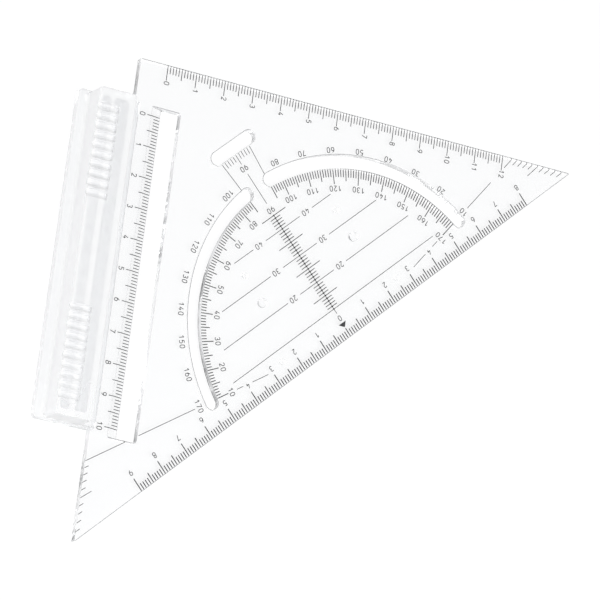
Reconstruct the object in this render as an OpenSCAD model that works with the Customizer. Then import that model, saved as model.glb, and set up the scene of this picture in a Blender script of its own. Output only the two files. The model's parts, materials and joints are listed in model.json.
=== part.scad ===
// Drafting triangle: a clear right-angled set square with a protractor and a push-on grip.
// Drawn from the right-angled corner: the top leg runs along +X, the grip leg along -Y.
// The finished part stands on Z = 0, with the origin under the middle of its bounding box.

/* [Plate] */
// Length of each leg, between the sharp corners
leg_length = 154.2; // [146:0.2:200]
// Thickness of the plate
plate_t = 2.4; // [1.6:0.1:4]
// Radius that takes the sharpness off the three corners
corner_r = 0.3; // [0.1:0.05:1.5]
// Distance of the protractor's zero from the middle of the long edge, towards the right-hand tip
zero_shift = 10.2; // [0:0.2:14]

/* [Ruling slot] */
// Distance of the slot's scale edge from the grip leg
slot_inset = 9.8; // [8:0.1:14]
// Width of the slot at the underside
slot_w = 6.1; // [4.5:0.1:8]
// Distance of the slot's first end from the top leg
slot_start = 14.3; // [8:0.1:20]
// Length of the slot
slot_length = 105.8; // [60:0.2:112]
// Radius of the slot's corners
slot_corner_r = 0.8; // [0.3:0.1:2]
// Width of the bevel that thins the scale edge
bevel_w = 3.8; // [2:0.1:6]
// Thickness that the bevel leaves at the scale edge
bevel_edge_t = 0.5; // [0.3:0.1:1.2]

/* [Protractor] */
// Radius of the middle line of the two arc slots
arc_r = 55.25; // [45:0.25:60]
// Width of the arc slots
arc_w = 4.5; // [4.2:0.1:6]
// Angle above the long edge at which an arc slot's lower end is centred
arc_low = 9.5; // [6:0.5:30]
// Angle above the long edge at which an arc slot's upper end is centred
arc_high = 85; // [60:1:86]
// Distance of the window slot's middle from the protractor's zero
window_r = 69.7; // [66:0.1:74]
// Length of the window slot over its round ends
window_length = 18; // [10:0.5:24]
// Width of the window slot
window_w = 4.5; // [3:0.1:5.5]

/* [Feet] */
// Diameter of the small feet
foot_d = 1.8; // [1.2:0.1:3]
// Diameter of the two larger feet
pad_d = 3; // [2:0.1:4]
// Radius of the feet's lower edge
foot_edge_r = 0.4; // [0.1:0.05:0.6]
// Distance of the upper small feet from the centre line
upper_foot_x = 20; // [14:0.5:26]
// Height of the upper small feet above the long edge
upper_foot_y = 34.9; // [30:0.1:38]
// Distance of the lower small feet from the centre line
lower_foot_x = 25.2; // [15:0.2:35]
// Height of the lower small feet above the long edge
lower_foot_y = 6.1; // [3:0.1:12]
// Distance of the larger feet from the centre line
pad_x = 20; // [14:0.5:26]
// Height of the larger feet above the long edge
pad_y = 24.7; // [18:0.1:28]

/* [Grip] */
// Distance of the grip's first end from the top leg
grip_start = 13.95; // [5:0.05:25]
// Length of the grip's base
grip_length = 104.8; // [70:0.2:112]
// Distance from the grip leg to the outer edge of the base
grip_reach = 18.5; // [17:0.05:26]
// Thickness of the base's outer flange
flange_t = 2.1; // [1.4:0.1:3]
// Radius of the flange's outer corners
flange_corner_r = 1.6; // [0.5:0.1:2.5]
// Height of the grip
grip_h = 11; // [9:0.1:16]
// Distance from the grip leg to the near wall of the block
block_near = 2.5; // [2:0.1:3.5]
// Width of the block
block_w = 12.6; // [11:0.1:13]
// Distance that the block is set back from each end of the base
block_set_back = 0.45; // [0.3:0.05:3]
// Radius of the block's upright corners
block_corner_r = 1; // [0.5:0.1:2]
// Radius of the block's long top edges
block_edge_r = 0.6; // [0.2:0.1:1]
// Radius of the fillet between the flange and the block's outer wall
fillet_r = 1.4; // [0.3:0.1:1.5]

/* [Grip jaws] */
// Thickness of the jaw under the plate
lower_jaw_t = 1.2; // [0.8:0.1:2]
// Thickness of the jaw over the plate
upper_jaw_t = 1; // [0.7:0.1:2]
// Distance that the lower jaw reaches under the plate
lower_jaw_reach = 2.4; // [1:0.1:5]
// Distance that the upper jaw reaches over the plate
upper_jaw_reach = 1.2; // [0.5:0.1:4]
// Clearance between the plate and each face of the mouth
mouth_clearance = 0.05; // [0.02:0.01:0.2]
// Size of the lead-in chamfer on each jaw
jaw_lead = 0.4; // [0.1:0.1:0.6]

/* [Grip ribbing] */
// Grooves in each of the two ribbed fields
groove_count = 10; // [3:1:12]
// Distance from one groove to the next
groove_pitch = 3.07; // [2.8:0.01:3.3]
// Distance from the middle of the grip to the first groove of each field
groove_first = 18; // [3:0.5:20]
// Radius of a groove's round bottom
groove_r = 1.3; // [0.8:0.1:1.35]
// Depth of a groove
groove_depth = 0.6; // [0.2:0.1:0.8]
// Length of a groove, from the outer wall inwards
groove_length = 7; // [3:0.1:10]

/* [Grip hollows] */
// Thickness of the block's outer wall
outer_wall = 1.6; // [1:0.1:2.2]
// Thickness of the block's near wall
near_wall = 2; // [0.8:0.1:2.5]
// Thickness of the block's end walls
end_wall = 2.3; // [1:0.1:3]
// Thickness of the roof over the hollows
roof_t = 1.6; // [1.2:0.1:3]
// Thickness of the web between the two hollows
web_t = 0.9; // [0.6:0.1:2]
// Width of the outer hollow
outer_hollow_w = 3.1; // [2.6:0.1:4]
// Radius of the hollows' upright corners
hollow_corner_r = 1; // [0.3:0.1:1.2]

/* [Hidden] */
$fn = 64;
// Overshoot of a cut past the face that it opens
cut = 1;
// Number of steps round the protractor's large circles
arc_fn = 256;
// Half of the angle at the two sharp tips
half_tip = 22.5;
// Distance from a sharp tip to where its rounding starts
tip_tangent = corner_r / tan(half_tip);
// Furthest reach of the rounded tips along the legs
tip_reach = leg_length - tip_tangent + corner_r;
// Height of the plate's underside and of its upper face
underside_z = lower_jaw_t + mouth_clearance;
top_z = underside_z + plate_t;
// Place of the protractor's zero on the long edge
zero_x = leg_length / 2 + zero_shift / sqrt(2);
zero_y = -leg_length / 2 + zero_shift / sqrt(2);
// Turn from the legs to the long edge
long_edge_turn = 45;
// Middle of the whole part's bounding box, seen from above
box_mid_x = (tip_reach - grip_reach) / 2;
box_mid_y = -tip_reach / 2;
// Walls of the block, as distances from the grip leg
block_far = block_near + block_w;
block_start = grip_start + block_set_back;
block_length = grip_length - 2 * block_set_back;
grip_middle = grip_start + grip_length / 2;
// Upper face of the upper jaw
upper_jaw_top = top_z + mouth_clearance + upper_jaw_t;

// Puts the drawing's right-angled corner where the part's origin asks for it
module placed() {
  translate([-box_mid_x, -box_mid_y, 0])
    children();
}

// Moves to the protractor's zero, with X along the long edge and Y into the plate
module at_zero() {
  translate([zero_x, zero_y, 0])
    rotate(long_edge_turn)
      children();
}

// Carries a profile drawn in X and Z along the grip leg
module along_leg(start, length) {
  translate([0, -start, 0])
    rotate([90, 0, 0])
      linear_extrude(length)
        children();
}

// Rectangle from the origin with four round corners
module rounded_rectangle(w, l, r) {
  translate([r, 0])
    square([w - 2 * r, l]);
  translate([0, r])
    square([w, l - 2 * r]);
  for (x = [r, w - r], y = [r, l - r])
    translate([x, y])
      circle(r);
}

// Upright block with round corners, between two distances from the grip leg
module leg_block(far, near, start, length, height, r) {
  translate([-far, -start - length, 0])
    linear_extrude(height)
      rounded_rectangle(far - near, length, r);
}

// Triangle with a small radius at its right angle and at its two tips
module plate_outline() {
  reach = leg_length - tip_tangent;
  slant = tip_tangent / sqrt(2);
  polygon([
    [corner_r, 0],
    [reach, 0],
    [leg_length - slant, -slant],
    [slant, -leg_length + slant],
    [0, -reach],
    [0, -corner_r]
  ]);
  for (p = [[corner_r, -corner_r], [reach, -corner_r], [corner_r, -reach]])
    translate(p)
      circle(corner_r);
}

// Long slot beside the grip leg
module ruling_slot() {
  translate([slot_inset, -slot_start - slot_length])
    rounded_rectangle(slot_w, slot_length, slot_corner_r);
}

// Wedge that thins the slot's scale edge from above
module scale_bevel() {
  fall = plate_t - bevel_edge_t;
  along_leg(slot_start, slot_length)
    polygon([
      [slot_inset - bevel_w, top_z],
      [slot_inset, top_z - fall],
      [slot_inset + slot_corner_r, top_z - fall],
      [slot_inset + slot_corner_r, top_z + cut],
      [slot_inset - bevel_w, top_z + cut]
    ]);
}

// Slot along a quarter of the protractor's ring, with round ends
module arc_slot() {
  outer_r = arc_r + arc_w / 2;
  wedge_r = 2 * outer_r;
  middle = (arc_low + arc_high) / 2;
  intersection() {
    difference() {
      circle(outer_r, $fn = arc_fn);
      circle(outer_r - arc_w, $fn = arc_fn);
    }
    polygon([
      [0, 0],
      wedge_r * [cos(arc_low), sin(arc_low)],
      wedge_r * [cos(middle), sin(middle)],
      wedge_r * [cos(arc_high), sin(arc_high)]
    ]);
  }
  for (a = [arc_low, arc_high])
    translate(arc_r * [cos(a), sin(a)])
      circle(arc_w / 2);
}

// Short slot with round ends above the ninety degree mark
module window_slot() {
  straight = window_length - window_w;
  translate([0, window_r]) {
    square([straight, window_w], center = true);
    for (side = [-1, 1])
      translate([side * straight / 2, 0])
        circle(window_w / 2);
  }
}

// Foot under the plate that reaches down to the table, with its lower edge rounded
module foot(d) {
  r = d / 2;
  edge_r = min(foot_edge_r, r / 2);
  height = underside_z + plate_t / 2;
  rotate_extrude() {
    square([r - edge_r, height]);
    translate([0, edge_r])
      square([r, height - edge_r]);
    translate([r - edge_r, edge_r])
      circle(edge_r);
  }
}

// The feet stand in pairs on both sides of the centre line
module feet() {
  for (side = [-1, 1]) {
    translate([side * upper_foot_x, upper_foot_y])
      foot(foot_d);
    translate([side * lower_foot_x, lower_foot_y])
      foot(foot_d);
    translate([side * pad_x, pad_y])
      foot(pad_d);
  }
}

// Clear plate with its slots, bevelled scale edge and feet
module triangle_plate() {
  color([0.84, 0.91, 0.94, 0.55])
    placed() {
      difference() {
        translate([0, 0, underside_z])
          linear_extrude(plate_t)
            difference() {
              plate_outline();
              ruling_slot();
              at_zero() {
                arc_slot();
                mirror([1, 0])
                  arc_slot();
                window_slot();
              }
            }
        scale_bevel();
      }
      at_zero()
        feet();
    }
}

// Section of the block with its two long top edges rounded
module block_section() {
  shoulder = grip_h - block_edge_r;
  translate([-block_far, 0])
    square([block_w, shoulder]);
  translate([-block_far + block_edge_r, 0])
    square([block_w - 2 * block_edge_r, grip_h]);
  for (x = [-block_far + block_edge_r, -block_near - block_edge_r])
    translate([x, shoulder])
      circle(block_edge_r);
}

// Ribbed block that the fingers hold
module block() {
  intersection() {
    along_leg(block_start, block_length)
      block_section();
    leg_block(block_far, block_near, block_start, block_length, grip_h, block_corner_r);
  }
}

// Soft inside corner between the flange and the block's outer wall
module wall_fillet() {
  along_leg(block_start + block_corner_r, block_length - 2 * block_corner_r)
    translate([-block_far - fillet_r, flange_t])
      difference() {
        square(fillet_r);
        translate([0, fillet_r])
          circle(fillet_r);
      }
}

// Bar beside the block that joins the two jaws
module jaw_bar() {
  bar_near = -upper_jaw_reach;
  bar_far = block_near + near_wall;
  translate([-bar_far, -block_start - block_length, 0])
    cube([bar_far - bar_near, block_length, upper_jaw_top]);
}

// Mouth that takes the plate's edge, with a lead-in chamfer on each jaw
module mouth() {
  mouth_far = -mouth_clearance;
  mouth_near = lower_jaw_reach + cut;
  low = lower_jaw_t;
  high = top_z + mouth_clearance;
  along_leg(grip_start - cut, grip_length + 2 * cut)
    polygon([
      [mouth_far, low],
      [lower_jaw_reach - jaw_lead, low],
      [lower_jaw_reach, low - jaw_lead],
      [mouth_near, low - jaw_lead],
      [mouth_near, high + jaw_lead],
      [upper_jaw_reach, high + jaw_lead],
      [upper_jaw_reach - jaw_lead, high],
      [mouth_far, high]
    ]);
}

// Two fields of round-bottomed grooves across the top of the block
module grooves() {
  for (side = [-1, 1], i = [0 : groove_count - 1]) {
    place = grip_middle + side * (groove_first + i * groove_pitch);
    translate([-block_far - cut, -place, grip_h - groove_depth + groove_r])
      rotate([0, 90, 0])
        cylinder(h = groove_length + cut, r = groove_r);
  }
}

// Two long hollows that open at the underside and keep the walls even
module hollows() {
  outer_far = block_far - outer_wall;
  outer_near = outer_far - outer_hollow_w;
  start = block_start + end_wall;
  length = block_length - 2 * end_wall;
  height = cut + grip_h - roof_t;
  translate([0, 0, -cut]) {
    leg_block(outer_far, outer_near, start, length, height, hollow_corner_r);
    leg_block(outer_near - web_t, block_near + near_wall, start, length, height, hollow_corner_r);
  }
}

// Clear rail that pushes on to the edge of the grip leg
module grip() {
  color([0.88, 0.92, 0.95, 0.55])
    placed()
      difference() {
        union() {
          leg_block(grip_reach, -lower_jaw_reach, grip_start, grip_length, flange_t, flange_corner_r);
          block();
          wall_fillet();
          jaw_bar();
        }
        mouth();
        grooves();
        hollows();
      }
}

triangle_plate();
grip();
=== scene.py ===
"""Looks of a clear drafting triangle with a protractor and a push-on grip.

The frame gives the plate and the grip. This script finishes both as clear moulded plastic, prints the
scales on the plate's underside and sets a pale studio round them. Lengths are in millimetres until a mesh,
a material or a camera is made.
"""

import json
import math

import bpy
import numpy as np
from mathutils import Matrix, Vector


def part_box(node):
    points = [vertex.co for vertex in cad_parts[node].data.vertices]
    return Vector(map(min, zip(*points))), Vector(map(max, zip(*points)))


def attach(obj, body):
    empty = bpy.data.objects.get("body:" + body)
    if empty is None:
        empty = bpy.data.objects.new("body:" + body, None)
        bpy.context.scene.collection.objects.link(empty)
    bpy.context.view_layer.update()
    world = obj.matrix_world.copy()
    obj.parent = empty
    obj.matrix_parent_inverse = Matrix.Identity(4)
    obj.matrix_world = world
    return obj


MM = 0.001
CM = 10.0
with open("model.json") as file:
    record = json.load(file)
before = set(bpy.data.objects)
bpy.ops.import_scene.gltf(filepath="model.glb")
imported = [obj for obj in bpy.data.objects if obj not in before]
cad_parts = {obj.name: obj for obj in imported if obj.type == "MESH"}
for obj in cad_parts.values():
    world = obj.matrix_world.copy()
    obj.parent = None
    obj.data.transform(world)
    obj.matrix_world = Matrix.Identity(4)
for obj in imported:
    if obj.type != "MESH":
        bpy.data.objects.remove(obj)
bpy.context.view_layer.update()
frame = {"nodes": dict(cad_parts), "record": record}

# Places that the frame gives: the long edge's mount lies at half the plate's thickness
plate_low, plate_high = (np.array(corner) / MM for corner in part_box("triangle_plate"))
mounts = {mount["name"]: mount for mount in frame["record"]["mounts"]}
zero_mark = np.array(mounts["long_edge"]["pos_m"]) / MM
underside = 2 * zero_mark[2] - plate_high[2]
right_angle = np.array([plate_low[0], plate_high[1]])

# Film of ink and its lines
ink_sink = 0.01
ink_thickness = 0.02
line_width = 0.2
long_edge_line = 0.345
top_leg_line = 0.25
slot_line = 0.235
degree_line = 0.285
centre_line = 0.24

# Ticks at each one, five and ten of a scale
edge_ticks = (2.2, 3.4, 4.5)
slot_ticks = (2.45, 3.9, 4.4)
degree_ticks = (2.35, 3.6, 4.6)

# Figures: their pitch and width are shares of the height of a stroke
figure_height = 1.88
figure_line = 0.23
figure_pitch = 0.92
figure_w = 0.56
bow_points = 15
ring_points = 28
ring_squareness = 2.5

# Place of the print on the plate
edge_margin = 0.05
print_slip = np.array([0.06, -0.07])
long_edge_turn = math.radians(45)
arc_edge_r = 52.95
inner_figures_r = 46.9
outer_figures_r = 59.25


# Frames of the print

def on_legs(points):
    """Leg frame to the object's frame: X runs along the top leg from the right angle, Y up the grip leg."""
    return right_angle + np.asarray(points, float)


def on_protractor(points):
    """Protractor frame to the object's frame: X along the long edge from the zero mark, Y into the plate."""
    x, y = np.moveaxis(np.asarray(points, float) + print_slip, -1, 0)
    c, s = math.cos(long_edge_turn), math.sin(long_edge_turn)
    return zero_mark[:2] + np.stack([c * x - s * y, s * x + c * y], -1)


def polar(radius, degrees):
    """Point of the protractor at a radius and an angle above the long edge."""
    a = np.radians(degrees)
    return np.stack([radius * np.cos(a), radius * np.sin(a)], -1)


# Ink as a film that is carried along lines

def inked(paths, width, closed=False):
    """Flat film along each path: its section is a thin rectangle, as wide as the line and across its run.

    At a bend the section turns to the mean direction and widens by one over the cosine of half the bend.
    paths holds lines by points by two coordinates; width is one number or one for each point. The film is
    sunk a little into the plate, so that it is seen through the plastic with no air between. Returns
    vertices and quads.
    """
    least_cosine = 0.5
    paths = np.asarray(paths, float)
    lines, points = paths.shape[:2]
    ahead = np.roll(paths, -1, 1) - paths
    if not closed:
        ahead[:, -1] = ahead[:, -2]
    ahead /= np.linalg.norm(ahead, axis=-1, keepdims=True)
    behind = np.roll(ahead, 1, 1)
    if not closed:
        behind[:, 0] = ahead[:, 0]
    mean = ahead + behind
    mean /= np.linalg.norm(mean, axis=-1, keepdims=True)
    half_bend = np.clip((mean * ahead).sum(-1, keepdims=True), least_cosine, 1)
    across = np.stack([-mean[..., 1], mean[..., 0]], -1) / half_bend
    half = across * (np.broadcast_to(width, (lines, points))[..., None] / 2)
    top = underside + ink_sink
    section = np.empty((lines, points, 4, 3))
    section[:, :, 0, :2] = section[:, :, 3, :2] = paths + half
    section[:, :, 1, :2] = section[:, :, 2, :2] = paths - half
    section[:, :, :2, 2] = top
    section[:, :, 2:, 2] = top - ink_thickness
    index = np.arange(lines * points * 4).reshape(lines, points, 4)
    runs = slice(None) if closed else slice(-1)
    here, after = index[:, runs], np.roll(index, -1, 1)[:, runs]
    quads = [np.stack([here, np.roll(here, -1, 2), np.roll(after, -1, 2), after], -1).reshape(-1, 4)]
    if not closed:
        quads += [index[:, 0, ::-1], index[:, -1]]
    return section.reshape(-1, 3), np.concatenate(quads)


def bars(starts, ends, width=line_width):
    """Straight lines of ink, one from each start to its end."""
    return inked(np.stack([starts, ends], 1), width)


def printed(name, parts):
    """Makes one piece of print from several sets of vertices and quads; it moves with the triangle."""
    vertices, quads, count = [], [], 0
    for part_vertices, part_quads in parts:
        vertices.append(part_vertices)
        quads.append(part_quads + count)
        count += len(part_vertices)
    mesh = bpy.data.meshes.new(name)
    mesh.from_pydata((np.concatenate(vertices) * MM).tolist(), [], np.concatenate(quads).tolist())
    mesh.materials.append(scale_ink)
    piece = bpy.data.objects.new(name, mesh)
    bpy.context.scene.collection.objects.link(piece)
    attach(piece, "triangle")


# Figures in technical lettering, drawn on a cell one unit high

def bow(cx, cy, rx, ry, start, end):
    """Arc of an ellipse between two angles in degrees."""
    a = np.radians(np.linspace(start, end, bow_points))
    return np.stack([cx + rx * np.cos(a), cy + ry * np.sin(a)], -1), False


def ring(cx, cy, rx, ry):
    """Closed oval with flattened sides: cosine and sine raised to two over the squareness."""
    a = np.linspace(0, 2 * math.pi, ring_points, endpoint=False)
    c, s = (np.sign(wave) * np.abs(wave) ** (2 / ring_squareness) for wave in (np.cos(a), np.sin(a)))
    return np.stack([cx + rx * c, cy + ry * s], -1), True


def stroke(*points):
    """Straight stroke through a few points."""
    return np.array(points, float), False


def turned_over(strokes):
    """The same strokes after half a turn in the cell."""
    return [(np.array([figure_w, 1]) - points, closed) for points, closed in strokes]


six = [ring(0.28, 0.3, 0.28, 0.3), bow(0.58, 0.34, 0.58, 0.66, 180, 112)]
FIGURES = {
    "0": [ring(0.28, 0.5, 0.28, 0.5)],
    "1": [stroke((0.08, 0.72), (0.36, 1.0)), stroke((0.36, 1.0), (0.36, 0.0))],
    "2": [bow(0.28, 0.72, 0.26, 0.28, 165, -38), stroke((0.485, 0.548), (0.02, 0.0)),
          stroke((0.0, 0.0), (0.56, 0.0))],
    "3": [bow(0.27, 0.76, 0.25, 0.24, 150, -90), bow(0.27, 0.26, 0.28, 0.26, 90, -150)],
    "4": [stroke((0.34, 1.0), (0.0, 0.28)), stroke((0.0, 0.28), (0.56, 0.28)),
          stroke((0.4, 0.52), (0.4, 0.0))],
    "5": [stroke((0.5, 1.0), (0.1, 1.0), (0.05, 0.53)), bow(0.26, 0.31, 0.29, 0.31, 135, -145)],
    "6": six,
    "7": [stroke((0.0, 1.0), (0.56, 1.0), (0.2, 0.0))],
    "8": [ring(0.28, 0.765, 0.235, 0.235), ring(0.28, 0.27, 0.28, 0.27)],
    "9": turned_over(six),
}


def figures(number, centre, up, place):
    """Films of a number: each figure's strokes are scaled to the height and set side by side on the centre.

    up is the direction of the figures' tops in the print's own frame, and place turns that frame into the
    object's.
    """
    up = np.asarray(up, float)
    along = np.array([up[1], -up[0]])
    tall = figure_height - figure_line
    advance = figure_pitch * tall
    text = str(number)
    width = advance * (len(text) - 1) + figure_w * tall
    parts = []
    for i, figure in enumerate(text):
        for points, closed in FIGURES[figure]:
            x = points[:, :1] * tall + i * advance - width / 2
            y = (points[:, 1:] - 0.5) * tall
            parts.append(inked(place(centre + x * along + y * up)[None], figure_line, closed))
    return parts


# Shader maths

class Value:
    """Output of a shader node that takes part in sums: each operator adds one Math node."""

    def __init__(self, finish, socket):
        self.finish, self.socket = finish, socket

    def _math(self, operation, first, second):
        return self.finish.node("ShaderNodeMath", {"operation": operation}, {0: first, 1: second})

    def __add__(self, other):
        return self._math("ADD", self, other)

    __radd__ = __add__

    def __rsub__(self, other):
        return self._math("SUBTRACT", other, self)

    def __mul__(self, other):
        return self._math("MULTIPLY", self, other)

    __rmul__ = __mul__

    def __pow__(self, other):
        return self._math("POWER", self, other)

    def at_most(self, other):
        return self._math("MINIMUM", self, other)

    def at_least(self, other):
        return self._math("MAXIMUM", self, other)


class Finish:
    """Node tree of a material or a world, with one method that adds any node."""

    def __init__(self, owner):
        owner.use_nodes = True
        self.tree = owner.node_tree
        self.tree.nodes.clear()

    def node(self, kind, settings=None, sockets=None, out=0):
        """Adds a node: its settings first, then the values or links of its sockets.

        Returns the output that out names, if the node has any.
        """
        made = self.tree.nodes.new(kind)
        for name, value in (settings or {}).items():
            setattr(made, name, value)
        for name, value in (sockets or {}).items():
            if isinstance(value, Value):
                self.tree.links.new(value.socket, made.inputs[name])
            else:
                made.inputs[name].default_value = value
        return Value(self, made.outputs[out]) if made.outputs else None

    def grain(self, scale, detail):
        """Noise over the object's own coordinates, with features of about one over the scale in metres."""
        place = self.node("ShaderNodeTexCoord", out="Object")
        return self.node("ShaderNodeTexNoise", None, {"Vector": place, "Scale": scale, "Detail": detail})

    def blend(self, share, first, second):
        """Colour between two others."""
        return self.node("ShaderNodeMix", {"data_type": "RGBA"}, {0: share, 6: first, 7: second}, 2)

    def coordinate(self, vector, axis="Z"):
        """One coordinate of a vector, its height unless another axis is named."""
        return self.node("ShaderNodeSeparateXYZ", None, {"Vector": vector}, axis)

    def ray(self, kind):
        """One for rays of a kind that the Light Path node names, zero for the others."""
        return self.node("ShaderNodeLightPath", out=kind)


# Plastic and ink
acrylic_ior = 1.49
cloud_scale, streak_scale, plastic_detail = 40, 75, 3
cloud_contrast = 3
wall_falloff = 1.4
satin_rise = 0.35
satin_tone = (0.97, 0.97, 0.975, 1)
veil_roughness, veil_roughness_spread = 0.45, 0.2
# Samples of the rounded normal, which places the painted edge shade and shades the veil
rounding_samples = 6
lean_falloff = 4.0
pass_tone = (0.965, 0.968, 0.972, 1)
tint_density = 1.0
ink_scale, ink_detail = 2500, 3
ink_tones = ((0.003, 0.003, 0.004, 1), (0.014, 0.014, 0.016, 1))
ink_roughness, ink_roughness_spread = 0.5, 0.25
ink_relief = 0.005


def clear_plastic(name, tones, roughness, satin, haze, rounding_width, edge_shade_falloff, edge_shade_cover, edge_shade_tone, tint):
    """Clear moulded plastic: a refracting body under a satin veil that is thick on cut walls, with painted
    shade on edges.

    Walls are where the face's normal lies flat: one less the square of its upright part, times a factor.
    Their satin varies between its two values and grows towards the plate's upper face. Painted shade lies
    on edges, where a normal rounded over the rounding width leaves the face's own normal: one less their dot
    product, times a factor and the square of the upright part, so that walls have none; there the veil
    darkens to the edge shade tone. An edge that leans towards the grip's side, where the light falls, gets no
    painted shade. The veil is seen from outside only and is shaded by the rounded normal, as light that
    scatters in the plastic blurs its shading. Lamps and the floor's bounced light pass the plastic with a
    small loss, so its shadow stays faint.
    """
    material = bpy.data.materials.new(name)
    finish = Finish(material)
    cloud = finish.grain(cloud_scale, plastic_detail)
    streak = finish.grain(streak_scale, plastic_detail)
    face = finish.node("ShaderNodeNewGeometry", out="True Normal")
    rounded = finish.node("ShaderNodeBevel", {"samples": rounding_samples}, {"Radius": rounding_width * MM})
    agreement = finish.node("ShaderNodeVectorMath", {"operation": "DOT_PRODUCT"},
                            {0: face, 1: rounded}, "Value")
    entering = 1 - finish.node("ShaderNodeNewGeometry", out="Backfacing")
    rise = finish.node("ShaderNodeMapRange", None, {
        "Value": finish.coordinate(finish.node("ShaderNodeTexCoord", out="Object")),
        "From Min": underside * MM, "From Max": plate_high[2] * MM, "To Min": 0.0, "To Max": 1.0,
    })
    upright = finish.coordinate(face)
    wall = (1 - upright * upright * wall_falloff).at_least(0.0)
    # Painted shade: edges get dark lines in place of the dark refraction and shadow along them, except edges
    # that lean towards the grip's side, where the light falls
    shade_side = (1 + finish.coordinate(rounded, "X") * lean_falloff).at_least(0.0).at_most(1.0)
    edge = ((1 - agreement) * edge_shade_falloff).at_most(1.0) * upright * upright * shade_side
    body = finish.node("ShaderNodeBsdfPrincipled", None, {
        "Base Color": finish.blend(cloud, *tones),
        "Roughness": roughness[0] + cloud ** cloud_contrast * (roughness[1] - roughness[0]),
        "Transmission Weight": 1.0,
        "IOR": acrylic_ior,
    })
    # Along edges the veil's colour goes to the edge shade tone: painted shade
    veil = finish.node("ShaderNodeBsdfPrincipled", None, {
        "Base Color": finish.blend(edge, satin_tone, edge_shade_tone),
        "Roughness": veil_roughness + cloud * veil_roughness_spread,
        "Normal": rounded,
    })
    satin_cover = wall * (satin[0] + streak * (satin[1] - satin[0]) + rise * satin_rise)
    # The painted edge shade also sets a least cover of the veil along edges
    cover = (haze * cloud + satin_cover).at_least(edge * edge_shade_cover).at_most(1.0) * entering
    seen = finish.node("ShaderNodeMixShader", None, {0: cover, 1: body, 2: veil})
    lit_through = finish.node("ShaderNodeBsdfTransparent", None, {"Color": pass_tone})
    lamps = (finish.ray("Is Shadow Ray") + finish.ray("Is Diffuse Ray")).at_most(1.0)
    surface = finish.node("ShaderNodeMixShader", None, {0: lamps, 1: seen, 2: lit_through})
    depth = finish.node("ShaderNodeVolumeAbsorption", None, {"Color": tint, "Density": tint_density})
    finish.node("ShaderNodeOutputMaterial", None, {"Surface": surface, "Volume": depth})
    return material


def printing_ink():
    """Matt black ink with a slightly uneven layer."""
    material = bpy.data.materials.new("scale_ink")
    finish = Finish(material)
    layer = finish.grain(ink_scale, ink_detail)
    skin = finish.node("ShaderNodeBsdfPrincipled", None, {
        "Base Color": finish.blend(layer, *ink_tones),
        "Roughness": ink_roughness + layer * ink_roughness_spread,
        "Normal": finish.node("ShaderNodeBump", None, {"Height": layer, "Distance": ink_relief * MM}),
    })
    finish.node("ShaderNodeOutputMaterial", None, {"Surface": skin})
    return material


clear_plate = clear_plastic(
    "clear_plate",
    tones=((0.995, 0.996, 0.997, 1), (0.985, 0.988, 0.991, 1)),
    roughness=(0.0, 0.02),
    satin=(-0.7, 1.45),
    haze=0.02,
    # Painted shade on the plate: dark lines along its edges, strongly covering a thin band
    rounding_width=0.6,
    edge_shade_falloff=12.0,
    edge_shade_cover=0.95,
    edge_shade_tone=(0.2, 0.2, 0.22, 1),
    tint=(0.82, 0.88, 0.93, 1),
)
clear_grip = clear_plastic(
    "clear_grip",
    tones=((0.995, 0.996, 0.998, 1), (0.985, 0.988, 0.991, 1)),
    roughness=(0.08, 0.2),
    satin=(0.05, 0.4),
    haze=0.75,
    # Faint painted shade on the grip: light grey lines along its edges
    rounding_width=0.8,
    edge_shade_falloff=3.0,
    edge_shade_cover=0.2,
    edge_shade_tone=(0.8, 0.81, 0.83, 1),
    tint=(0.8, 0.86, 0.92, 1),
)
scale_ink = printing_ink()
for node_name, plastic in (("triangle_plate", clear_plate), ("grip", clear_grip)):
    shape = frame["nodes"][node_name]
    shape.data.materials.clear()
    shape.data.materials.append(plastic)


# Print of the scales

def tick_lengths(counts, one, five, ten):
    """Length of each tick: every tenth is the longest, every fifth the next."""
    return np.select([counts % 10 == 0, counts % 5 == 0], [ten, five], one)


def scale_row(counts, base, step, inward, lengths, place, width):
    """Row of ticks from a base line: tick i starts at base plus i steps and reaches inward by its length."""
    starts = np.asarray(base) + counts[:, None] * np.asarray(step)
    ends = starts + lengths[:, None] * np.asarray(inward)
    return bars(place(starts), place(ends), width)


def long_edge_print():
    """Centimetres on both sides of the zero mark, with the marker triangle at zero."""
    row_x, zero_length = -0.4, 2.9
    figures_x, figures_y = -0.17, 6.53
    marker_x, marker_base, marker_tip = -0.36, 4.9, 3.35
    marker_widths = np.array([3.1, 0.05])
    counts = np.arange(-90, 81)
    lengths = tick_lengths(counts, *edge_ticks)
    lengths[counts == 0] = zero_length
    base = edge_margin - print_slip[1]
    parts = [scale_row(counts, (row_x, base), (1, 0), (0, 1), lengths - base, on_protractor, long_edge_line)]
    for centimetre in range(-9, 9):
        centre = np.array([CM * centimetre + figures_x, figures_y])
        parts += figures(abs(centimetre), centre, (0, -1), on_protractor)
    marker = on_protractor([[[marker_x, marker_base], [marker_x, marker_tip]]])
    parts.append(inked(marker, marker_widths))
    printed("print_long_edge", parts)


def top_leg_print():
    """Zero to twelve centimetres along the top leg."""
    start, figures_x = 10.0, 0.22
    one_figure_y, two_figures_y = -5.35, -5.65
    counts = np.arange(0, 121)
    lengths = tick_lengths(counts, *edge_ticks) - edge_margin
    parts = [scale_row(counts, (start, -edge_margin), (1, 0), (0, -1), lengths, on_legs, top_leg_line)]
    for centimetre in range(13):
        y = one_figure_y if centimetre < 10 else two_figures_y
        parts += figures(centimetre, np.array([start + CM * centimetre + figures_x, y]), (1, 0), on_legs)
    printed("print_top_leg", parts)


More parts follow.
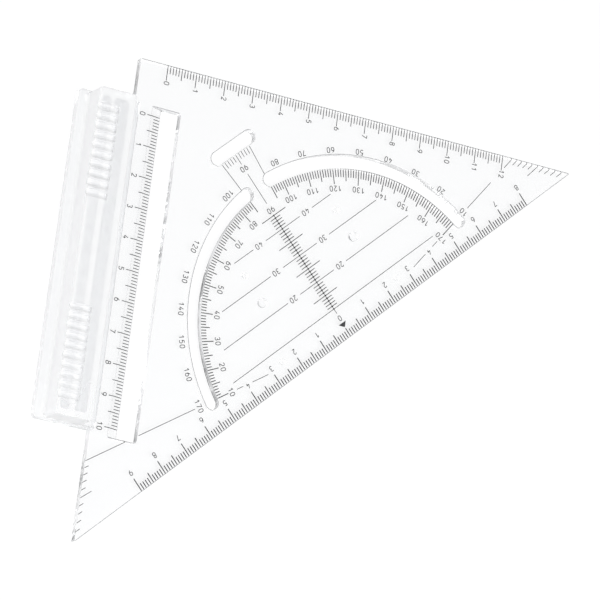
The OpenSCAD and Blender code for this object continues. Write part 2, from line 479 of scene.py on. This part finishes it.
def slot_print():
    """Zero to ten centimetres along the bevelled edge of the ruling slot."""
    start, edge, figures_x = -16.8, 9.7, 3.66
    counts = np.arange(0, 101)
    lengths = tick_lengths(counts, *slot_ticks)
    parts = [scale_row(counts, (edge, start), (0, -1), (-1, 0), lengths, on_legs, slot_line)]
    for centimetre in range(11):
        parts += figures(centimetre, np.array([figures_x, start - CM * centimetre]), (1, 0), on_legs)
    printed("print_slot", parts)


def degree_print():
    """Degrees inside the two arc slots, numbered in both directions."""
    low, high = 10, 85
    low_length, high_length = 4.8, 4.0
    three_figure_turn = -0.3
    parts = []
    for degrees in (np.arange(low, high + 1), np.arange(180 - high, 180 - low + 1)):
        lengths = tick_lengths(degrees, *degree_ticks)
        lengths[(degrees == high) | (degrees == 180 - high)] = high_length
        lengths[(degrees == low) | (degrees == 180 - low)] = low_length
        starts, ends = polar(arc_edge_r, degrees), polar(arc_edge_r - lengths, degrees)
        parts.append(bars(on_protractor(starts), on_protractor(ends), degree_line))
    for degree in range(10, 171, 10):
        if degree == 90:
            continue
        inward = -polar(1, degree)
        for number, radius in ((180 - degree, inner_figures_r), (degree, outer_figures_r)):
            turn = three_figure_turn if number > 99 else 0.0
            parts += figures(number, polar(radius, degree + turn), inward, on_protractor)
    printed("print_degrees", parts)


def window_print():
    """Marks round ninety degrees under the window slot, and the line that leads to them."""
    edge_r, sides_end_r = 67.45, 57.0
    ninety_length, other_length = 3.5, 2.1
    line_far, line_near = 60.4, 49.3
    window_figures_r = 62.4
    degrees = np.arange(86, 95)
    lengths = np.where(degrees == 90, ninety_length, other_length)
    sides = np.array([85, 95])
    parts = [
        bars(on_protractor(polar(edge_r, degrees)), on_protractor(polar(edge_r - lengths, degrees))),
        bars(on_protractor(polar(edge_r, sides)), on_protractor(polar(sides_end_r, sides))),
        bars(on_protractor([[0, line_far]]), on_protractor([[0, line_near]])),
    ]
    for y in (window_figures_r, inner_figures_r):
        parts += figures(90, np.array([0, y]), (0, -1), on_protractor)
    printed("print_window", parts)


def centre_print():
    """Millimetres up the centre line, a dot on each, with longer cross lines at the odd fives."""
    low, first, high = 8.3, 10, 45
    line_x, dot_half = -0.17, 0.24
    five_half, one_half = 5.1, 2.05
    every = np.arange(first, high + 1)
    y = every[every % 10 != 0]
    half = np.where(y % 5 == 0, five_half, one_half)
    left, right = (np.stack([line_x + side * half, y], -1) for side in (-1, 1))
    below, above = (np.stack([np.full(len(every), line_x), every + side * dot_half], -1) for side in (-1, 1))
    printed("print_centre", [
        bars(on_protractor(left), on_protractor(right), centre_line),
        bars(on_protractor([[line_x, low]]), on_protractor([[line_x, high]])),
        bars(on_protractor(below), on_protractor(above), 2 * dot_half),
    ])


def parallel_print():
    """Lines parallel to the long edge at every centimetre, broken at their numbers."""
    reach_r = 45.2
    left_number_x, right_number_x = -10.35, 10.05
    gap_near, gap_far = 7.4, 12.8
    parts = []
    for y in (10, 20, 30, 40):
        reach = math.sqrt(reach_r ** 2 - y ** 2)
        runs = [(-reach, reach)]
        if y > 10:
            runs = [(-reach, -gap_far), (-gap_near, gap_near), (gap_far, reach)]
            for number_x in (left_number_x, right_number_x):
                parts += figures(y, np.array([number_x, y]), (0, -1), on_protractor)
        starts, ends = (np.stack([x, np.full(len(runs), float(y))], -1) for x in np.array(runs).T)
        parts.append(bars(on_protractor(starts), on_protractor(ends)))
    printed("print_parallels", parts)


def ray_print():
    """Lines that radiate from the zero mark: the ten degree lines, and single degrees at the far edges."""
    centre = on_protractor([0, 0]) - right_angle

    def to_top_leg(degrees, depth):
        """Distance from the zero mark, at an angle, to the line that lies a depth under the top leg."""
        return (-depth - centre[1]) / np.sin(np.radians(degrees) + long_edge_turn)

    def to_grip_leg(degrees, depth):
        """Distance from the zero mark, at an angle, to the line that lies a depth inside the grip leg."""
        return (depth - centre[0]) / np.cos(np.radians(degrees) + long_edge_turn)

    stretches = {
        170: [(42.4, 44.8), (32.6, 38.8), (60.9, 82.3), (87.0, to_grip_leg(170, edge_margin))],
        10: [(42.6, 45.1), (32.7, 38.9), (61.3, 73.9)],
    }
    parts = []
    for degree, runs in stretches.items():
        near, far = np.array(runs).T
        parts.append(bars(on_protractor(polar(near, degree)), on_protractor(polar(far, degree))))
    top = np.arange(1, 11)
    top_depth = np.select([top == 10, top == 5], [3.4, 4.0], 1.8)
    left = np.arange(171, 180)
    left_depth = np.where(left == 175, 4.0, 1.9)
    for degrees, depth, reach in ((top, top_depth, to_top_leg), (left, left_depth, to_grip_leg)):
        near, far = reach(degrees, depth), reach(degrees, edge_margin)
        parts.append(bars(on_protractor(polar(near, degrees)), on_protractor(polar(far, degrees))))
    printed("print_rays", parts)


for scale_print in (long_edge_print, top_leg_print, slot_print, degree_print, window_print, centre_print,
                    parallel_print, ray_print):
    scale_print()


# Studio
white = (1, 1, 1, 1)
floor_drop = 0.1
floor_half = 3000.0
floor_scale, floor_detail = 12, 2
floor_tones = ((0.8, 0.8, 0.8, 1), (0.78, 0.78, 0.78, 1))
floor_seen_tone = (0.32, 0.32, 0.32, 1)
floor_glow = 0.73
dome_low, dome_high = 0.1, 0.7
dome_tones = ((0.52, 0.53, 0.55, 1), (0.95, 0.955, 0.965, 1))
dome_strength = 0.42
dome_seen_through_tone = (0.75, 0.76, 0.78, 1)
camera_sensor = 36.0
camera_clip = (0.05, 20.0)
ray_bounces, clear_bounces = 96, 16


def studio_floor():
    """Wide pale floor just under the part. Seen directly or through the plastic it is lifted to white."""
    square = np.array([[-1, -1], [1, -1], [1, 1], [-1, 1]]) * floor_half
    vertices = np.column_stack([square, np.full(4, -floor_drop)]) * MM
    mesh = bpy.data.meshes.new("studio_floor")
    mesh.from_pydata(vertices.tolist(), [], [[0, 1, 2, 3]])
    material = bpy.data.materials.new("studio_floor")
    finish = Finish(material)
    tone = finish.blend(finish.grain(floor_scale, floor_detail), *floor_tones)
    matt = finish.node("ShaderNodeBsdfDiffuse", None, {"Color": tone})
    faint = finish.node("ShaderNodeBsdfDiffuse", None, {"Color": floor_seen_tone})
    glow = finish.node("ShaderNodeEmission", None, {"Color": white, "Strength": floor_glow})
    lifted = finish.node("ShaderNodeAddShader", None, {0: faint, 1: glow})
    seen = (finish.ray("Is Camera Ray") + finish.ray("Is Glossy Ray")
            + finish.ray("Is Transmission Ray")).at_most(1.0)
    surface = finish.node("ShaderNodeMixShader", None, {0: seen, 1: matt, 2: lifted})
    finish.node("ShaderNodeOutputMaterial", None, {"Surface": surface})
    mesh.materials.append(material)
    floor = bpy.data.objects.new("studio_floor", mesh)
    bpy.context.scene.collection.objects.link(floor)


def studio_dome():
    """White dome overhead that falls to grey near the horizon, so that clear edges read against it."""
    world = bpy.data.worlds.new("studio_dome")
    bpy.context.scene.world = world
    finish = Finish(world)
    rise = finish.node("ShaderNodeMapRange", {"interpolation_type": "SMOOTHSTEP"}, {
        "Value": finish.coordinate(finish.node("ShaderNodeTexCoord", out="Generated")),
        "From Min": dome_low, "From Max": dome_high, "To Min": 0.0, "To Max": 1.0,
    })
    tone = finish.blend(rise, *dome_tones)
    lit = finish.node("ShaderNodeBackground", None, {"Color": tone, "Strength": dome_strength})
    pale = finish.blend(rise, dome_seen_through_tone, white)
    through = finish.node("ShaderNodeBackground", None, {"Color": pale, "Strength": 1.0})
    plain = finish.node("ShaderNodeBackground", None, {"Color": white, "Strength": 1.0})
    refracted, seen = finish.ray("Is Transmission Ray"), finish.ray("Is Camera Ray")
    surface = finish.node("ShaderNodeMixShader", None, {0: refracted, 1: lit, 2: through})
    surface = finish.node("ShaderNodeMixShader", None, {0: seen, 1: surface, 2: plain})
    finish.node("ShaderNodeOutputWorld", None, {"Surface": surface})


def direction_to(azimuth, elevation):
    """Unit vector from the part: azimuth 0 is towards -Y and 90 towards +X, elevation is above the table."""
    a, e = math.radians(azimuth), math.radians(elevation)
    return Vector((math.sin(a) * math.cos(e), -math.cos(a) * math.cos(e), math.sin(e)))


def studio_lamp(name, azimuth, elevation, distance, size, power):
    """Square soft lamp that faces the part from a direction given as the camera's is."""
    lamp = bpy.data.lights.new(name, "AREA")
    lamp.size = size * MM
    lamp.energy = power
    holder = bpy.data.objects.new(name, lamp)
    back = direction_to(azimuth, elevation)
    holder.location = back * distance * MM
    holder.rotation_mode = "QUATERNION"
    holder.rotation_quaternion = back.to_track_quat("Z", "Y")
    bpy.context.scene.collection.objects.link(holder)


def camera_at(aim, azimuth, elevation, roll, distance, lens):
    """Camera on a ray from its aim point, turned about that ray by the roll."""
    back = direction_to(azimuth, elevation)
    level = Vector((0, 0, 1)).cross(back).normalized()
    upright = back.cross(level)
    r = math.radians(roll)
    right = level * math.cos(r) + upright * math.sin(r)
    up = back.cross(right)
    place = Matrix((right, up, back)).transposed().to_4x4()
    place.translation = (Vector(aim) + back * distance) * MM
    data = bpy.data.cameras.new("studio_camera")
    data.sensor_width = camera_sensor
    data.lens = lens
    data.clip_start, data.clip_end = camera_clip
    camera = bpy.data.objects.new("studio_camera", data)
    camera.matrix_world = place
    bpy.context.scene.collection.objects.link(camera)
    bpy.context.scene.camera = camera


studio_floor()
studio_dome()
studio_lamp("key_lamp", azimuth=48, elevation=52, distance=900, size=700, power=4.8)
studio_lamp("fill_lamp", azimuth=-75, elevation=28, distance=1200, size=700, power=7.0)
camera_at(aim=(-2.465, 14.1, 2.16), azimuth=-58.55, elevation=61.10, roll=69.16, distance=1540.6,
          lens=295.985)

scene = bpy.context.scene
scene.view_settings.view_transform = "Standard"
scene.cycles.max_bounces = ray_bounces
scene.cycles.transmission_bounces = ray_bounces
scene.cycles.glossy_bounces = ray_bounces
scene.cycles.transparent_max_bounces = clear_bounces
